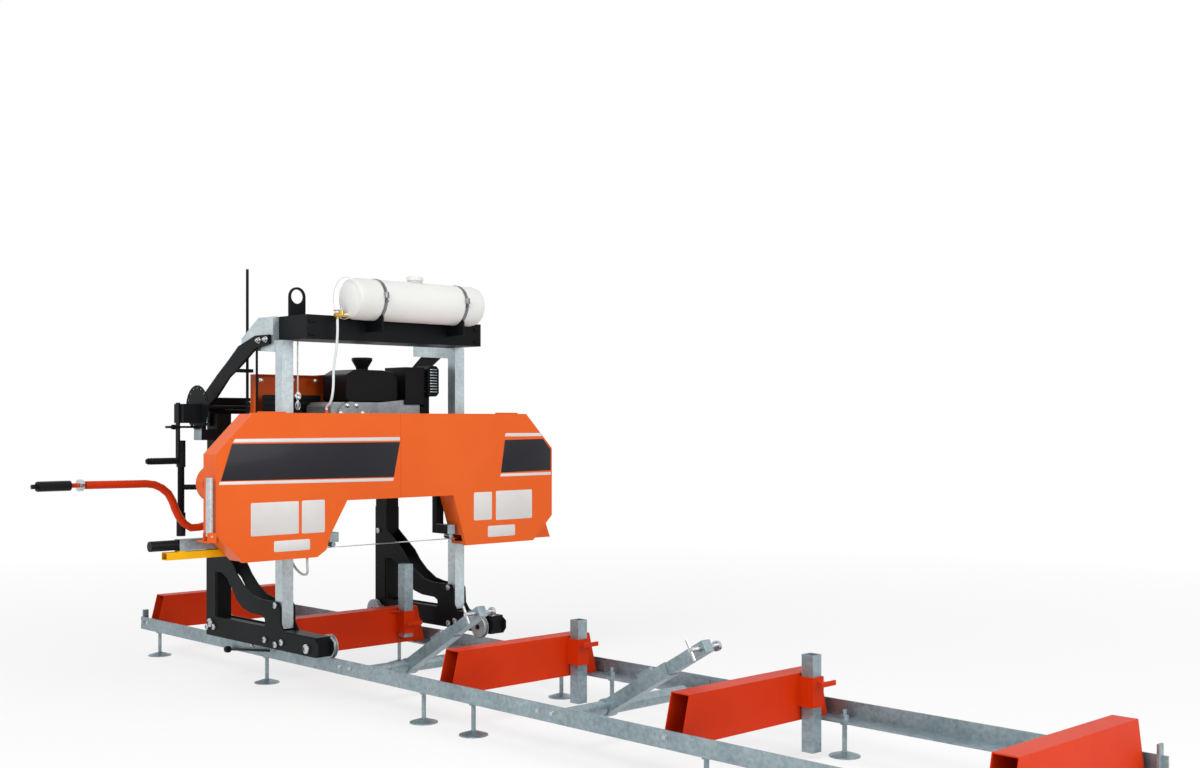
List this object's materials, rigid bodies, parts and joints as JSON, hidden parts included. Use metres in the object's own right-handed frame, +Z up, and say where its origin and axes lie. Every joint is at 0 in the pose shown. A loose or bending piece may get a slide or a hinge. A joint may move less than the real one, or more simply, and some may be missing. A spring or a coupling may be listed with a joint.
{
  "type": "portable band sawmill",
  "caption": "Portable band sawmill: rail track with bunks, log rests and clamps, and a rolling carriage that lifts a covered band saw head with engine.",
  "frame": {"origin": "on the ground, at the middle of the track's length and width", "axes": "+X along the track towards the empty end, +Y away from the operator's side, +Z up"},
  "size_m": [4.47, 2.141, 1.69],
  "materials": {
    "cover_orange": "orange powder coat",
    "frame_orange": "orange-red powder coat",
    "galvanised": "zinc plated, dull",
    "black_paint": "satin black",
    "black_plastic": "matt black",
    "foam": "black foam grip",
    "bright_steel": "bright steel",
    "white_tank": "white blow-moulded plastic",
    "yellow": "yellow paint",
    "brass": "brass",
    "hose": "clear flexible hose",
    "belt": "black rubber belt",
    "cast": "cast and machined grey"
  },
  "bodies": {
    "track": {"rail_front_far": "galvanised", "rail_front_near": "galvanised", "rail_rear_far": "galvanised", "rail_rear_near": "galvanised", "bunk_1": "frame_orange", "bunk_2": "frame_orange", "bunk_3": "frame_orange", "bunk_4": "frame_orange", "bunk_5": "frame_orange", "cross_tube_far": "galvanised", "cross_tube_near": "galvanised"},
    "carriage": {"side_frame_front": "black_paint", "side_frame_rear": "black_paint", "post_front": "galvanised", "post_rear": "galvanised", "top_beam": "black_paint", "brace_front": "black_paint", "brace_rear": "black_paint", "lube_tank": "white_tank", "index_plate": "black_paint", "push_bar": "frame_orange", "handle_post": "foam", "hoist_cable": "bright_steel", "tank_hose": "hose"},
    "head": {"head_frame": "black_paint", "cover_back": "cover_orange", "saw_band": "bright_steel", "engine_block": "cast", "engine_tank": "black_plastic", "muffler": "black_paint", "belt_guard": "frame_orange", "drive_belt": "belt", "lube_line": "hose"},
    "arm": {"guide_arm": "galvanised", "blade_guard": "yellow"},
    "wheel_front_near": {"track_wheel_front_near": "bright_steel"},
    "wheel_front_far": {"track_wheel_front_far": "bright_steel"},
    "wheel_rear_near": {"track_wheel_rear_near": "bright_steel"},
    "wheel_rear_far": {"track_wheel_rear_far": "bright_steel"},
    "winch_crank_body": {"winch_crank": "black_paint"},
    "crank_grip_body": {"crank_grip": "black_plastic"},
    "index_pin_body": {"index_pin": "black_paint"},
    "door_left_body": {"door_left": "cover_orange"},
    "door_right_body": {"door_right": "cover_orange"},
    "drive_wheel_body": {"drive_wheel": "cast"},
    "idler_wheel_body": {"idler_wheel": "cast"},
    "engine_pulley_body": {"engine_pulley": "cast"},
    "lock_lever_body": {"lock_lever": "bright_steel"},
    "tension_screw_body": {"tension_screw": "bright_steel"},
    "tank_cap_body": {"tank_cap": "white_tank"},
    "tank_valve_body": {"tank_valve": "brass"},
    "log_rest_2_body": {"log_rest_2": "galvanised"},
    "log_rest_3_body": {"log_rest_3": "galvanised"},
    "log_rest_4_body": {"log_rest_4": "galvanised"},
    "clamp_arm_far_body": {"clamp_arm_far": "galvanised"},
    "clamp_slide_far_body": {"clamp_slide_far": "galvanised"},
    "clamp_screw_far_body": {"clamp_screw_far": "brass"},
    "clamp_arm_near_body": {"clamp_arm_near": "galvanised"},
    "clamp_slide_near_body": {"clamp_slide_near": "galvanised"},
    "clamp_screw_near_body": {"clamp_screw_near": "bright_steel"}
  },
  "joints": [
    {"name": "carriage_roll", "type": "slide", "parent": "track", "child": "carriage", "axis": [1, 0, 0], "range_m": [-0.7, 2.8]},
    {"name": "spin_front_near", "type": "hinge", "parent": "carriage", "child": "wheel_front_near", "pos_m": [-0.684, -0.368, 0.21225], "axis": [0, 1, 0], "continuous": true},
    {"name": "spin_front_far", "type": "hinge", "parent": "carriage", "child": "wheel_front_far", "pos_m": [-1.44, -0.368, 0.21225], "axis": [0, 1, 0], "continuous": true},
    {"name": "spin_rear_near", "type": "hinge", "parent": "carriage", "child": "wheel_rear_near", "pos_m": [-0.684, 0.368, 0.21225], "axis": [0, 1, 0], "continuous": true},
    {"name": "spin_rear_far", "type": "hinge", "parent": "carriage", "child": "wheel_rear_far", "pos_m": [-1.44, 0.368, 0.21225], "axis": [0, 1, 0], "continuous": true},
    {"name": "head_lift", "type": "slide", "parent": "carriage", "child": "head", "axis": [0, 0, 1], "range_m": [-0.19, 0.185], "deforming": ["hoist_cable", "tank_hose"]},
    {"name": "winch_turn", "type": "hinge", "parent": "carriage", "child": "winch_crank_body", "pos_m": [-1.405, -0.535, 1.126], "axis": [0, 1, 0], "continuous": true},
    {"name": "crank_grip_spin", "type": "hinge", "parent": "winch_crank_body", "child": "crank_grip_body", "pos_m": [-1.405, -0.688, 0.909], "axis": [0, 1, 0], "continuous": true},
    {"name": "index_pin_pull", "type": "slide", "parent": "winch_crank_body", "child": "index_pin_body", "axis": [0, -1, 0], "range_m": [0, 0.012]},
    {"name": "drive_spin", "type": "hinge", "parent": "head", "child": "drive_wheel_body", "pos_m": [-0.782, -0.535, 0.82], "axis": [1, 0, 0], "continuous": true},
    {"name": "idler_spin", "type": "hinge", "parent": "head", "child": "idler_wheel_body", "pos_m": [-0.782, 0.535, 0.82], "axis": [1, 0, 0], "continuous": true},
    {"name": "engine_spin", "type": "hinge", "parent": "head", "child": "engine_pulley_body", "pos_m": [-1.276, -0.04, 1.117], "axis": [1, 0, 0], "continuous": true},
    {"name": "door_left_open", "type": "hinge", "parent": "head", "child": "door_left_body", "pos_m": [-0.757, -0.4, 1.1024], "axis": [0, -1, 0], "range_deg": [0, 95]},
    {"name": "door_right_open", "type": "hinge", "parent": "head", "child": "door_right_body", "pos_m": [-0.757, 0.4, 1.1024], "axis": [0, -1, 0], "range_deg": [0, 95]},
    {"name": "guide_arm_slide", "type": "slide", "parent": "head", "child": "arm", "axis": [0, 1, 0], "range_m": [0, 0.25]},
    {"name": "lock_lever_swing", "type": "hinge", "parent": "head", "child": "lock_lever_body", "pos_m": [-0.74, -0.84, 0.655], "axis": [1, 0, 0], "range_deg": [0, 80]},
    {"name": "tension_turn", "type": "hinge", "parent": "head", "child": "tension_screw_body", "pos_m": [-0.905, 0.8, 0.82], "axis": [0, 1, 0], "continuous": true},
    {"name": "tank_cap_lift", "type": "slide", "parent": "carriage", "child": "tank_cap_body", "axis": [0, 0, 1], "range_m": [0, 0.1]},
    {"name": "tank_valve_turn", "type": "hinge", "parent": "carriage", "child": "tank_valve_body", "pos_m": [-0.7, -0.304, 1.49], "axis": [0, 0, 1], "range_deg": [0, 90]},
    {"name": "clamp_swing_far", "type": "hinge", "parent": "track", "child": "clamp_arm_far_body", "pos_m": [-0.55, -0.09, 0.122], "axis": [0, -1, 0], "range_deg": [-8, 60]},
    {"name": "clamp_reach_far", "type": "slide", "parent": "clamp_arm_far_body", "child": "clamp_slide_far_body", "axis": [0.866, 0, 0.5], "range_m": [-0.055, 0.12]},
    {"name": "clamp_screw_turn_far", "type": "hinge", "parent": "clamp_slide_far_body", "child": "clamp_screw_far_body", "pos_m": [-0.12565, -0.09, 0.367], "axis": [0, 1, 0], "continuous": true},
    {"name": "clamp_swing_near", "type": "hinge", "parent": "track", "child": "clamp_arm_near_body", "pos_m": [0.55, -0.09, 0.122], "axis": [0, -1, 0], "range_deg": [-8, 60]},
    {"name": "clamp_reach_near", "type": "slide", "parent": "clamp_arm_near_body", "child": "clamp_slide_near_body", "axis": [0.866, 0, 0.5], "range_m": [-0.055, 0.12]},
    {"name": "clamp_screw_turn_near", "type": "hinge", "parent": "clamp_slide_near_body", "child": "clamp_screw_near_body", "pos_m": [0.97435, -0.09, 0.367], "axis": [0, 1, 0], "continuous": true},
    {"name": "log_rest_2_lift", "type": "slide", "parent": "track", "child": "log_rest_2_body", "axis": [0, 0, 1], "range_m": [-0.128, 0.05]},
    {"name": "log_rest_3_lift", "type": "slide", "parent": "track", "child": "log_rest_3_body", "axis": [0, 0, 1], "range_m": [0, 0.17]},
    {"name": "log_rest_4_lift", "type": "slide", "parent": "track", "child": "log_rest_4_body", "axis": [0, 0, 1], "range_m": [0, 0.17]}
  ],
  "couplings": [
    {"joint": "spin_front_near", "follows": "carriage_roll", "rad_per_m": 24.51},
    {"joint": "spin_front_far", "follows": "carriage_roll", "rad_per_m": 24.51},
    {"joint": "spin_rear_near", "follows": "carriage_roll", "rad_per_m": 24.51},
    {"joint": "spin_rear_far", "follows": "carriage_roll", "rad_per_m": 24.51},
    {"joint": "winch_turn", "follows": "head_lift", "rad_per_m": 50},
    {"joint": "idler_spin", "follows": "drive_spin", "ratio": 1},
    {"joint": "engine_spin", "follows": "drive_spin", "ratio": 1.688}
  ]
}
